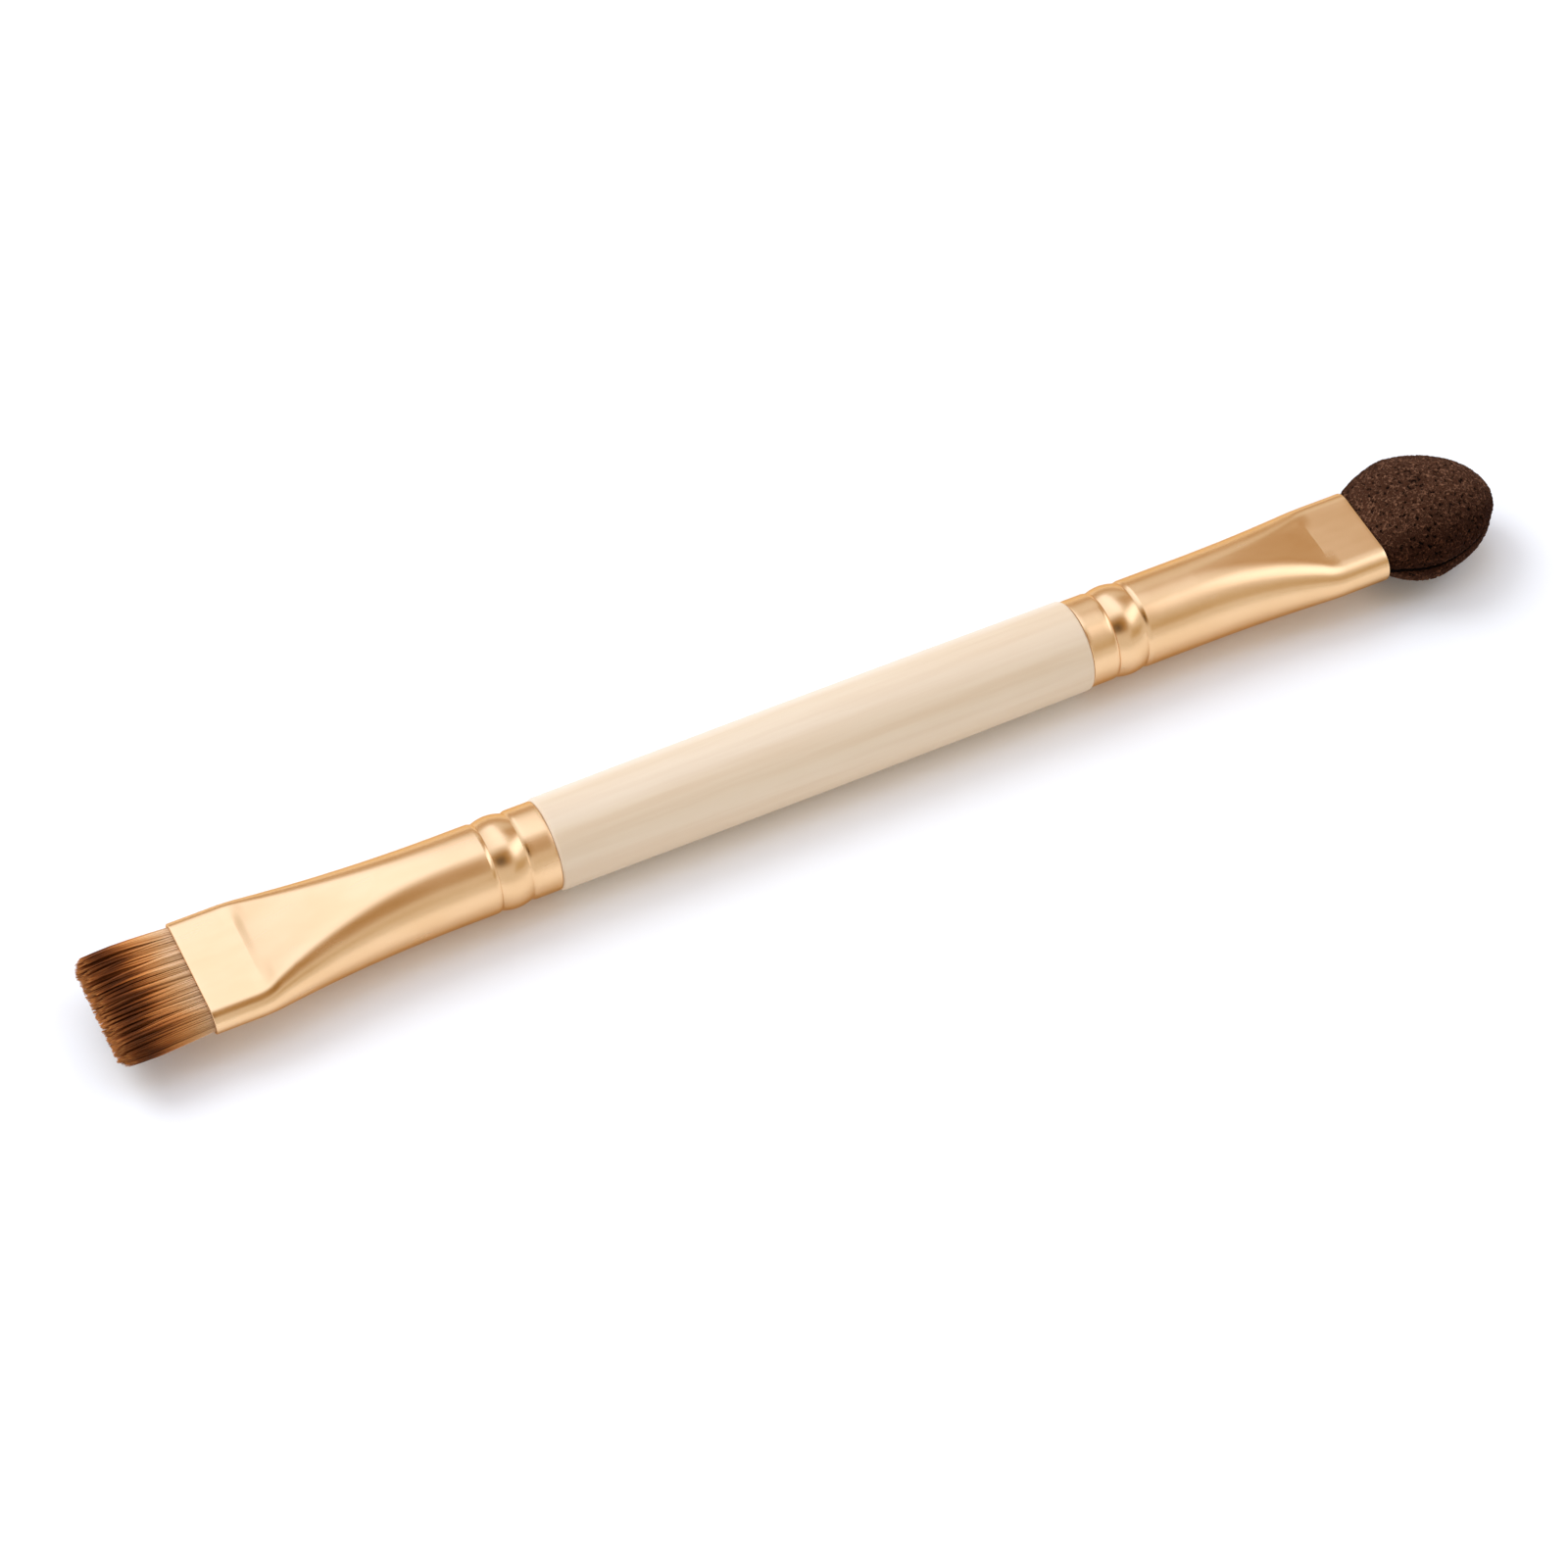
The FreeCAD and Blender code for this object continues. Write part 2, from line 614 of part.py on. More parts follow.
os.makedirs("parts", exist_ok=True)
for piece in pieces:
    piece.Shape.exportStep(f"parts/{piece.Label}.step")
    print(f"{piece.Label}: {piece.Shape.Volume:.1f} mm3")
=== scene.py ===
import math
import bpy
import numpy as np
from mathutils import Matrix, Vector, noise


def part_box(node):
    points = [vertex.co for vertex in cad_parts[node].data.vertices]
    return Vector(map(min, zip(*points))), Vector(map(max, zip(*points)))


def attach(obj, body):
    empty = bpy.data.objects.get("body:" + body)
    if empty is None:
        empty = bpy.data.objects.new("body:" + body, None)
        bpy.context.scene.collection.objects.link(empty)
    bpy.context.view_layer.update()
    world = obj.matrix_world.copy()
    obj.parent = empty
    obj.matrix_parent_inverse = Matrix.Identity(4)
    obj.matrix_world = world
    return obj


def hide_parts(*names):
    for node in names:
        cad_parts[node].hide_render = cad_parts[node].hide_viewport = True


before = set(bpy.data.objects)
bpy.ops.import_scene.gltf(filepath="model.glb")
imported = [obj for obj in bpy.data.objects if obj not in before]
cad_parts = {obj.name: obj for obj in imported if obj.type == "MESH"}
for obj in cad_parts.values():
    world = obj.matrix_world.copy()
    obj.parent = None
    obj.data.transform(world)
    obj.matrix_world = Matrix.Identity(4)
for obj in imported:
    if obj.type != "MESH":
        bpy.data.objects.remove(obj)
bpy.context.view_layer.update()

# A double-ended eyeshadow brush lying on a white table. X runs along it towards the sponge, Z is up, and
# the lengths are in metres, in the frame of the solid model.
bpy.ops.object.select_all(action="DESELECT")
MM = 0.001


# Handle
# Turned wood with a very slight belly and a tenon at each end, dipped in cream lacquer that dries to a
# satin gloss. The tenons are glued into the ferrules, so only the lacquered length shows.
CREAM = (0.735, 0.572, 0.400)
PALE_CREAM = (0.79, 0.647, 0.476)
WARM_CREAM = (0.715, 0.537, 0.356)


class Shade:
    """A socket of a finish's node tree. Arithmetic on it adds Math nodes."""

    # Sockets of a Mix node that mixes colours
    SHARE, FIRST, SECOND, RESULT = 0, 6, 7, 2

    def __init__(self, tree, socket=None):
        self.tree = tree
        self.socket = socket

    def node(self, kind, settings, inputs, output=0):
        """Add a node, set it up, then feed its sockets by name or number."""
        made = self.tree.nodes.new(kind)
        for name, value in settings.items():
            if name == "stops":
                stops = made.color_ramp.elements
                stops.remove(stops[1])
                stops[0].position, stops[0].color = value[0][0], (*value[0][1], 1)
                for place, colour in value[1:]:
                    stops.new(place).color = (*colour, 1)
            else:
                setattr(made, name, value)
        for key, value in inputs.items():
            self.feed(made.inputs[key], value)
        return Shade(self.tree, made.outputs[output])

    def feed(self, target, value):
        """Link another shade to a socket, or set the socket to a number or a colour."""
        if isinstance(value, Shade):
            self.tree.links.new(value.socket, target)
        elif isinstance(value, tuple) and len(target.default_value) > len(value):
            target.default_value = (*value, 1)
        else:
            target.default_value = value

    def maths(self, operation, other):
        return self.node("ShaderNodeMath", {"operation": operation}, {0: self, 1: other})

    def __add__(self, other):
        return self.maths("ADD", other)

    __radd__ = __add__

    def __sub__(self, other):
        return self.maths("SUBTRACT", other)

    def __rsub__(self, other):
        return (self * -1) + other

    def __mul__(self, other):
        return self.maths("MULTIPLY", other)

    __rmul__ = __mul__

    def stretched(self, along, across):
        """Coordinates scaled along the brush and across it, in features per metre."""
        scale = (along, across, across)
        return self.node("ShaderNodeVectorMath", {"operation": "MULTIPLY"}, {0: self, 1: scale})

    def stored(self, name):
        """A value that is stored on the points of the piece."""
        return self.node("ShaderNodeAttribute", {"attribute_name": name}, {}, "Fac")

    def cloud(self, detail=2.0, roughness=0.5):
        """Soft noise from 0 to 1 at these coordinates."""
        inputs = {"Vector": self, "Scale": 1.0, "Detail": detail, "Roughness": roughness}
        return self.node("ShaderNodeTexNoise", {}, inputs)

    def between(self, low, high):
        """0 below low, 1 above high, a soft step from one to the other."""
        inputs = {"Value": self, "From Min": low, "From Max": high}
        return self.node("ShaderNodeMapRange", {"interpolation_type": "SMOOTHSTEP"}, inputs)

    def mix(self, first, second):
        """The first colour where this is 0, the second where it is 1."""
        inputs = {self.SHARE: self, self.FIRST: first, self.SECOND: second}
        return self.node("ShaderNodeMix", {"data_type": "RGBA"}, inputs, self.RESULT)

    def times(self, colour):
        """This colour multiplied by another."""
        settings = {"data_type": "RGBA", "blend_type": "MULTIPLY"}
        inputs = {self.SHARE: 1.0, self.FIRST: self, self.SECOND: colour}
        return self.node("ShaderNodeMix", settings, inputs, self.RESULT)

    def bump(self, strength, distance):
        inputs = {"Strength": strength, "Distance": distance, "Height": self}
        return self.node("ShaderNodeBump", {}, inputs)


def new_finish(name, **constants):
    """A material with its shader's constants set. Returns it, the shader's inputs and the coordinates."""
    material = bpy.data.materials.new(name)
    material.use_nodes = True
    shader = material.node_tree.nodes["Principled BSDF"].inputs
    for key, value in constants.items():
        shader[key.replace("_", " ")].default_value = value
    place = Shade(material.node_tree).node("ShaderNodeTexCoord", {}, {}, "Object")
    return material, shader, place


lacquer, shader, place = new_finish("cream_lacquer", Coat_Weight=0.25, Coat_Roughness=0.12)
grain = place.stretched(28, 620).cloud(3, 0.6)
drift = place.stretched(14, 130).cloud(1)
streaks = grain.between(0.32, 0.7).mix(CREAM, PALE_CREAM)
place.feed(shader["Base Color"], (drift.between(0.4, 0.68) * 0.55).mix(streaks, WARM_CREAM))
place.feed(shader["Roughness"], 0.3 + grain * 0.12)
place.feed(shader["Normal"], grain.bump(0.25, 0.02 * MM))
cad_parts["handle"].material_slots[0].material = lacquer


# Ferrules
# Drawn aluminium tube, anodised satin champagne gold: a collar at the handle, a bead rolled between two
# grooves and a mouth pressed flat, with a crease across the flat and a small ridge behind each end of it.
# Each is a sheet rolled round the tube's profile and given its wall, and is glued on the handle's tenon.
GOLD = (0.835, 0.552, 0.302)
PALE_GOLD = (0.87, 0.588, 0.336)
TUBE_RADIUS = 4.2 * MM
GROOVE_RADIUS = 4.05 * MM
BEAD_HEIGHT = 0.29 * MM
WALL = 0.3 * MM
RIM_ROUND = 0.1 * MM
FLAT_LENGTH = 5.3 * MM
# Distances from the handle's shoulder
COLLAR_ARC, GROOVE, BEAD_END, TUBE_START = 2.30 * MM, 2.75 * MM, 5.70 * MM, 6.20 * MM
# Lengths near the crease with closer rows, and the length over which the sides bend there
CLOSE_BEHIND, CLOSE_BEFORE = 3 * MM, 1.6 * MM
SIDE_BEND, BEND_STEPS = 0.9 * MM, 6
FLARE_EASE = 1.0 * MM
# Where the ridge and the press's imprint rise and fall: by the distance behind the crease, and by the
# share of the flat's half width
RIDGE_RISE, RIDGE_FALL = (0, 1.3 * MM), (1.3 * MM, 9 * MM)
IMPRINT_RISE, IMPRINT_FALL = (-0.01 * MM, 0.75 * MM), (0.75 * MM, 5 * MM)
RIDGE_ACROSS = (0.42, 0.95)
IMPRINT_IN, IMPRINT_OUT = (-0.5, 0.55), (0.6, 1.0)
ROUND_STEPS = 176
WELD = 0.001 * MM
TINY = 1e-9

gold, shader, place = new_finish("satin_gold", Metallic=1.0, Specular_Tint=(0.78, 0.52, 0.28, 1))
drawn = place.stretched(40, 1500).cloud(1)
patch = place.stretched(160, 320).cloud(2)
place.feed(shader["Base Color"], patch.between(0.3, 0.7).mix(GOLD, PALE_GOLD))
place.feed(shader["Roughness"], 0.21 + patch * 0.05 + drawn * 0.05)
place.feed(shader["Normal"], drawn.bump(0.01, 0.01 * MM))


def arc(x, half_chord, height):
    """Height of a shallow arc over its chord, at the distance x from the chord's middle."""
    radius = (half_chord**2 + height**2) / (2 * height)
    return math.sqrt(radius**2 - x**2) - radius + height


def soft_step(value, low, high):
    """0 below low, 1 above high, eased in between."""
    share = min(1, max(0, (value - low) / (high - low)))
    return share * share * (3 - 2 * share)


def hump(value, rise, fall):
    """0 outside, up to 1 over the first stretch and down again over the second."""
    return soft_step(value, *rise) * (1 - soft_step(value, *fall))


def tube_radius(run):
    """Radius of the round part, at the distance run from the handle's shoulder."""
    drop = TUBE_RADIUS - GROOVE_RADIUS
    if COLLAR_ARC < run < GROOVE:
        return GROOVE_RADIUS + arc(run - COLLAR_ARC, GROOVE - COLLAR_ARC, drop)
    if GROOVE <= run <= BEAD_END:
        return GROOVE_RADIUS + arc(run - (GROOVE + BEAD_END) / 2, (BEAD_END - GROOVE) / 2, BEAD_HEIGHT)
    if BEAD_END < run < TUBE_START:
        return GROOVE_RADIUS + arc(TUBE_START - run, TUBE_START - BEAD_END, drop)
    return TUBE_RADIUS


def ferrule(name, node, way, flare_start, flare_length, mouth_width, mouth_height, ridge_height, imprint):
    """A ferrule that runs from the handle's shoulder towards -X or +X."""
    low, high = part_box(node)
    shoulder = high.x if way < 0 else low.x
    middle = Vector((shoulder, 0, (low.z + high.z) / 2))
    crease = flare_start + flare_length
    # Start and end of each stretch along the tube, and its rows of faces
    stretches = (
        (0, COLLAR_ARC, 5),
        (COLLAR_ARC, GROOVE, 7),
        (GROOVE, BEAD_END, 26),
        (BEAD_END, TUBE_START, 10),
        (TUBE_START, flare_start, 4),
        (flare_start, crease - CLOSE_BEHIND, 30),
        (crease - CLOSE_BEHIND, crease, 24),
        (crease, crease + CLOSE_BEFORE, 12),
        (crease + CLOSE_BEFORE, crease + FLAT_LENGTH, 8),
    )
    runs = [start + (end - start) * i / steps for start, end, steps in stretches for i in range(steps)]
    runs.append(crease + FLAT_LENGTH)

    def pressed(run):
        """Half width and half height of the section by the press, with a sharp bend at the crease."""
        share = min(1, max(0, (run - flare_start) / flare_length)) ** 2
        across = TUBE_RADIUS + (mouth_width / 2 - TUBE_RADIUS) * share
        return across, TUBE_RADIUS - (TUBE_RADIUS - mouth_height / 2) * share

    def section(run):
        """Half width, half height at the sides and in the middle, and the lift behind the crease."""
        if run < flare_start:
            radius = tube_radius(run)
            return radius, radius, radius, 0
        sharp_width, sharp_height = pressed(run)
        near = [pressed(run + SIDE_BEND * i / BEND_STEPS) for i in range(-BEND_STEPS, BEND_STEPS + 1)]
        ease = soft_step(run, flare_start, flare_start + FLARE_EASE)
        width = sum(w for w, h in near) / len(near) * ease + sharp_width * (1 - ease)
        side = sum(h for w, h in near) / len(near) * ease + sharp_height * (1 - ease)
        ridge = ridge_height * hump(crease - run, RIDGE_RISE, RIDGE_FALL)
        lift = imprint * hump(crease - run, IMPRINT_RISE, IMPRINT_FALL)
        return width, side + ridge, sharp_height, lift

    bpy.ops.mesh.primitive_grid_add(x_subdivisions=len(runs) - 1, y_subdivisions=ROUND_STEPS, size=2)
    piece = bpy.context.object
    piece.name = name
    sections = [section(run) for run in runs]
    for vertex in piece.data.vertices:
        row = round((vertex.co.x + 1) / 2 * (len(runs) - 1))
        width, side, height, lift = sections[row]
        flat = width - side
        half_girth = 2 * flat + math.pi * side
        girth = 2 * half_girth
        reached = ((vertex.co.y + 1) / 2 * girth + flat) % girth
        underside = reached >= half_girth
        if underside:
            reached -= half_girth
        if reached < 2 * flat:
            y, z = flat - reached, side
            out = y / max(flat, TINY)
            sunk = (side - height) * (1 - soft_step(abs(out), *RIDGE_ACROSS))
            z -= sunk - lift * hump(out, IMPRINT_IN, IMPRINT_OUT)
        else:
            bend = (reached - 2 * flat) / side
            y, z = -flat - side * math.sin(bend), side * math.cos(bend)
        if underside:
            y, z = -y, -z
        vertex.co = middle + Vector((way * runs[row], y, z))
    bpy.ops.object.mode_set(mode="EDIT")
    bpy.ops.mesh.select_all(action="SELECT")
    bpy.ops.mesh.remove_doubles(threshold=WELD)
    bpy.ops.mesh.normals_make_consistent(inside=False)
    bpy.ops.object.mode_set(mode="OBJECT")
    wall = piece.modifiers.new("wall", "SOLIDIFY")
    wall.thickness, wall.offset = WALL, -1
    rim = piece.modifiers.new("rim", "BEVEL")
    rim.width, rim.segments = RIM_ROUND, 8
    rim.limit_method, rim.angle_limit = "ANGLE", math.radians(75)
    for modifier in ("wall", "rim"):
        bpy.ops.object.modifier_apply(modifier=modifier)
    bpy.ops.object.shade_smooth_by_angle(angle=math.radians(12))
    piece.select_set(False)
    piece.data.materials.append(gold)
    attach(piece, "root")
    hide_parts(node)


ferrule(
    "brush_ferrule_shell",
    "brush_ferrule",
    way=-1,
    flare_start=9.3 * MM,
    flare_length=19.0 * MM,
    mouth_width=12.3 * MM,
    mouth_height=3.15 * MM,
    ridge_height=0.08 * MM,
    imprint=0.12 * MM,
)
ferrule(
    "sponge_ferrule_shell",
    "sponge_ferrule",
    way=1,
    flare_start=11.8 * MM,
    flare_length=13.6 * MM,
    mouth_width=10.4 * MM,
    mouth_height=4.05 * MM,
    ridge_height=0.02 * MM,
    imprint=0.04 * MM,
)


# Bristles
# Some thousands of tapered synthetic filaments, dyed from pale tan at the root through dark brown to golden
# tips, cut square and set in epoxy inside the flat mouth. They cling in small clumps with dark gaps.
FILAMENTS = 3300
CLUMPS = 250
FILAMENT_RADIUS = 0.057 * MM
SET_DEPTH = 1.6 * MM
# Shares of a filament's length, each with its thickness against the one before
TAPER = ((0.16, 1.0), (0.34, 1.0), (0.52, 0.97), (0.70, 0.92), (0.86, 0.80), (1.0, 0.35))
# The tuft's own form: it spreads, swells and thins, and is cut shorter at its corners and edges
SPREAD, SWELL, TIP_THINNING = 0.3 * MM, 0.2 * MM, 0.28 * MM
CORNER_CUT, EDGE_CUT = 1.1 * MM, 0.75 * MM
# How far clumps and filaments stray from it
CLUMP_SWAY, OWN_SWAY, WAVE = 0.065 * MM, 0.035 * MM, 0.045 * MM
STRAY_SHARE, STRAY_SWAY = 0.02, 3
CLUMP_LENGTH, LONGEST, SHORTER = 0.06 * MM, 0.08 * MM, 0.19 * MM
# Dye by the share of the way out, from root to tip
DYE = (
    (0.0, (0.63, 0.425, 0.265)),
    (0.13, (0.62, 0.365, 0.18)),
    (0.27, (0.59, 0.285, 0.105)),
    (0.40, (0.53, 0.216, 0.065)),
    (0.52, (0.35, 0.113, 0.026)),
    (0.64, (0.160, 0.040, 0.007)),
    (0.80, (0.088, 0.0205, 0.0045)),
    (0.88, (0.135, 0.034, 0.0075)),
    (0.95, (0.25, 0.072, 0.017)),
    (1.0, (0.52, 0.205, 0.056)),
)
DARK_STRAND, PALE_STRAND = (0.55, 0.52, 0.49), (1.45, 1.42, 1.36)

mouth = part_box("brush_ferrule")[0].x
tuft_low, tuft_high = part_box("bristle_tuft")
axis_height = (tuft_low.z + tuft_high.z) / 2
out_length = mouth - tuft_low.x
full_width = (tuft_high.y - tuft_low.y) / 2 - FILAMENT_RADIUS
full_depth = (tuft_high.z - tuft_low.z) / 2 - FILAMENT_RADIUS
rng = np.random.default_rng(7)

# One filament of unit length and unit radius, drawn out along the way it points and tapered
bpy.ops.mesh.primitive_circle_add(vertices=4, radius=1, fill_type="NGON", rotation=(0, -math.pi / 2, 0))
filament = bpy.context.object
bpy.ops.object.transform_apply(rotation=True)
bpy.ops.object.mode_set(mode="EDIT")
bpy.ops.mesh.select_all(action="SELECT")
reached = 0
for step, thinner in TAPER:
    bpy.ops.mesh.extrude_region_move(TRANSFORM_OT_translate={"value": (reached - step, 0, 0)})
    bpy.ops.transform.resize(value=(1, thinner, thinner), center_override=(-step, 0, 0))
    reached = step
bpy.ops.object.mode_set(mode="OBJECT")


def spread_points(count, tries):
    """Points spread evenly over the mouth's stadium, in shares of its half width and half depth."""
    flat = 1 - full_depth / full_width
    kept = np.empty((0, 2))
    scale = np.array([full_width, full_depth])
    while len(kept) < count:
        drawn = rng.uniform(-1, 1, (tries, 2))
        beyond = np.maximum(np.abs(drawn[:, 0]) - flat, 0) / (1 - flat)
        drawn = drawn[beyond**2 + drawn[:, 1] ** 2 < 1]
        if len(kept):
            apart = np.min(np.linalg.norm((drawn[:, None] - kept[None]) * scale, axis=2), axis=1)
            drawn = drawn[[np.argmax(apart)]]
        else:
            drawn = drawn[:1]
        kept = np.vstack([kept, drawn])
    return kept


# Each filament joins the nearest clump, and gets its tone, sway and length
clump_places = spread_points(CLUMPS, 60)
places = spread_points(FILAMENTS, 12)
gaps = np.linalg.norm((places[:, None] - clump_places[None]) * [full_width, full_depth], axis=2)
clump = np.argmin(gaps, axis=1)
clump_tone = rng.uniform(0, 1, CLUMPS)
clump_sway = rng.normal(0, CLUMP_SWAY, (CLUMPS, 2))
own_sway = rng.normal(0, OWN_SWAY, (FILAMENTS, 2))
tone = 0.55 * clump_tone[clump] + 0.45 * rng.uniform(0, 1, FILAMENTS)
pull = rng.uniform(0.35, 0.75, CLUMPS)[clump]
clump_length = rng.normal(0, CLUMP_LENGTH, CLUMPS)
stray = rng.uniform(0, 1, FILAMENTS) < STRAY_SHARE
own_sway[stray] *= STRAY_SWAY
corner = np.maximum(np.abs(places[:, 0]) - 0.8, 0) / 0.2
edge = np.maximum(np.abs(places[:, 1]) - 0.35, 0) / 0.65
calm = 1 - 0.8 * np.clip(corner, 0, 1)
lengths = out_length - CORNER_CUT * corner**2.2 - EDGE_CUT * edge**2 + clump_length[clump]
lengths += LONGEST - np.abs(rng.normal(0, SHORTER, FILAMENTS))

# The filaments' points: the tuft's form on the way out, the cling to the clump, the sway and the wave
base = np.array([v.co for v in filament.data.vertices])
faces = [list(p.vertices) for p in filament.data.polygons]
share = -base[:, 0]
along = (share[None] * (lengths + SET_DEPTH)[:, None] - SET_DEPTH) / out_length
free = np.clip(along, 0, 1)
swell = np.sin(np.pi * np.clip(free / 1.05, 0, 1)) ** 0.8
thinning = np.clip((free - 0.55) / 0.45, 0, 1) ** 1.6
width = full_width - SPREAD + SPREAD * np.clip(free / 0.6, 0, 1)
depth = full_depth - SWELL + SWELL * swell - TIP_THINNING * thinning
gathered = (pull * calm)[:, None] * np.clip(free / 0.75, 0, 1) ** 1.3
cling = gathered * (1 - 0.45 * np.clip((free - 0.8) / 0.2, 0, 1))
spot = places[:, None, :] + (clump_places[clump] - places)[:, None, :] * cling[:, :, None]
sway = ((clump_sway[clump] + own_sway) * calm[:, None])[:, None, :] * (free**1.5)[:, :, None]
wave_start = rng.uniform(0, 2 * math.pi, CLUMPS)[clump][:, None]
wave = np.sin(wave_start + 4.2 * free) - np.sin(wave_start)
sway += (WAVE * wave * np.clip(free * 3, 0, 1) * calm[:, None])[:, :, None]
thick = FILAMENT_RADIUS * (0.85 + 0.3 * rng.uniform(0, 1, FILAMENTS))[:, None]
spin = rng.uniform(0, math.pi / 2, FILAMENTS)[:, None]
points = np.empty((FILAMENTS, len(base), 3))
points[..., 0] = mouth - along * out_length
points[..., 1] = spot[..., 0] * width + sway[..., 0]
points[..., 2] = axis_height + spot[..., 1] * depth + sway[..., 1] * 0.6
points[..., 1] += thick * (base[:, 1] * np.cos(spin) - base[:, 2] * np.sin(spin))
points[..., 2] += thick * (base[:, 1] * np.sin(spin) + base[:, 2] * np.cos(spin))
tuft_mesh = bpy.data.meshes.new("bristle_filaments")
all_faces = [[i + len(base) * k for i in face] for k in range(FILAMENTS) for face in faces]
tuft_mesh.from_pydata(points.reshape(-1, 3), [], all_faces)
own_share = along * out_length / lengths[:, None]
for key, values in (("along", own_share), ("tone", np.repeat(tone[:, None], len(base), 1))):
    stored = tuft_mesh.attributes.new(key, "FLOAT", "POINT")
    stored.data.foreach_set("value", values.ravel().astype(np.float32))
bpy.data.objects.remove(filament)
bristles = bpy.data.objects.new("bristle_filaments", tuft_mesh)
bpy.context.scene.collection.objects.link(bristles)
bristles.select_set(True)
bpy.context.view_layer.objects.active = bristles
bpy.ops.object.shade_smooth()
bpy.ops.object.select_all(action="DESELECT")

hair, shader, place = new_finish("dyed_filament", Specular_IOR_Level=0.3, Specular_Tint=(1, 0.68, 0.38, 1))
way_out = place.stored("along")
strand = place.stored("tone")
mottle = place.stretched(230, 520).cloud(2)
uneven = (0.5 - strand) * 0.24 + (0.5 - mottle) * 0.3
dyed_to = way_out + uneven * (1 - way_out.between(0.78, 0.98))
dye = place.node("ShaderNodeValToRGB", {"stops": DYE}, {"Fac": dyed_to})
place.feed(shader["Base Color"], dye.times(strand.mix(DARK_STRAND, PALE_STRAND)))
place.feed(shader["Roughness"], 0.34 + strand * 0.12)
tuft_mesh.materials.append(hair)
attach(bristles, "root")
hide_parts("bristle_tuft")


# Sponge
# Two pads of fine dark-brown foam, moulded to an egg shape and bonded along their edges over the plastic
# core. The tail is squeezed into the flat mouth. Painted shade darkens the pits and a line along the bond
# round the edge, pale threads stand in partly as painted highlights on the ridges, and each pad is painted
# darker towards the seam and the near side and lighter on its crown.
sponge_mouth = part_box("sponge_ferrule")[1].x
sponge_low, sponge_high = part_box("sponge_upper_half")
SPONGE_OUT = sponge_high.x - sponge_mouth
SPONGE_BELLY = 5.2 * MM
HALF_WIDTH = sponge_high.y + 0.06 * MM
HALF_HEIGHT = sponge_high.z - axis_height
TAIL_WIDTH, TAIL_HEIGHT = 4.85 * MM, 1.68 * MM
TAIL_DEPTH = 2.4 * MM
# Shares of the sphere's half turn that become the tail's end, the tail and the swelling part
END_SHARE, TAIL_SHARE, BELLY_SHARE = 0.02, 0.1, 0.5
FULLNESS = 2 / 2.15
SEAM_ROUND = 0.8 * MM
# How far up from the seam the painted shade reaches, and how softly it ends
SEAM_SHADE, SEAM_SOFT = 0.36 * MM, 0.2 * MM
# Relief of the foam: the size of each kind of unevenness and how far it stands out or sinks in
LUMP_SIZE, LUMP_HEIGHT = 2.6 * MM, 0.05 * MM
WORM_SIZE, WORM_HEIGHT = 0.36 * MM, 0.08 * MM
PIT_SIZE, PIT_DEPTH = 0.38 * MM, 0.16 * MM
FINE_SIZE, FINE_HEIGHT = 0.2 * MM, 0.03 * MM
PIT_SHIFT = Vector((9, 4, 2))
DARK_SKIN, PALE_SKIN = (0.052, 0.0195, 0.0100), (0.066, 0.0255, 0.0134)
# Pale threads on the foam's ridges, partly the foam's own threads and partly painted highlights
THREAD_HIGHLIGHT = (0.25, 0.118, 0.069)
# Painted shade in the pits and along the seam
PIT_SHADE = (0.010, 0.0036, 0.002)
# Painted shade and light over each pad: darker towards the seam and the near side, lighter on the crown
SHADE_NEAR_SEAM, LIGHT_ON_CROWN = (0.42, 0.31, 0.235), (1.2, 1.21, 1.17)

foam, shader, place = new_finish("brown_foam", Specular_IOR_Level=0.06)
pore = place.stored("pore")
painted_light_share = place.stored("height")
speck = place.stretched(5200, 5200).cloud(3, 0.65)
cloudy = place.stretched(260, 260).cloud(2)
# Thin pale threads away from the pits, which also stand in as painted highlights on the ridges
thread_line = (place.stretched(2300, 2300).cloud(1) - 0.5).maths("ABSOLUTE", 0)
thread = 1 - thread_line.between(0.0, 0.09)
skin = cloudy.between(0.3, 0.7).mix(DARK_SKIN, PALE_SKIN)
thread_highlighted = (thread * (1 - pore)).mix(skin, THREAD_HIGHLIGHT)
# Painted shade in the pits and along the seam
pit_shaded = pore.between(0.55, 1.0).mix(thread_highlighted, PIT_SHADE)
# Painted shade and light over the pad, from the stored height: darker towards the seam and the near side,
# lighter on the crown and over the lower pad
place.feed(shader["Base Color"], pit_shaded.times(painted_light_share.between(0.3, 1.15).mix(SHADE_NEAR_SEAM, LIGHT_ON_CROWN)))
place.feed(shader["Roughness"], 0.8 + speck * 0.2)
place.feed(shader["Normal"], (thread + speck).bump(1.0, 0.16 * MM))


def pad_station(share):
    """Place along the axis from the mouth, half width and half height there, by share of the pad."""
    if share < TAIL_SHARE:
        closed = min(share / END_SHARE, 1)
        return (share / TAIL_SHARE - 1) * TAIL_DEPTH, TAIL_WIDTH * closed, TAIL_HEIGHT * closed
    if share < BELLY_SHARE:
        swelling = (share - TAIL_SHARE) / (BELLY_SHARE - TAIL_SHARE)
        left = (1 - swelling) ** 2
        width = HALF_WIDTH - (HALF_WIDTH - TAIL_WIDTH) * left
        return SPONGE_BELLY * swelling, width, HALF_HEIGHT - (HALF_HEIGHT - TAIL_HEIGHT) * left
    turn = (share - BELLY_SHARE) / (1 - BELLY_SHARE) * math.pi / 2
    at = SPONGE_BELLY + (SPONGE_OUT - SPONGE_BELLY) * math.sin(turn)
    shrink = math.cos(turn) * (1 - 0.1 * math.sin(turn))
    return at, HALF_WIDTH * shrink, HALF_HEIGHT * shrink


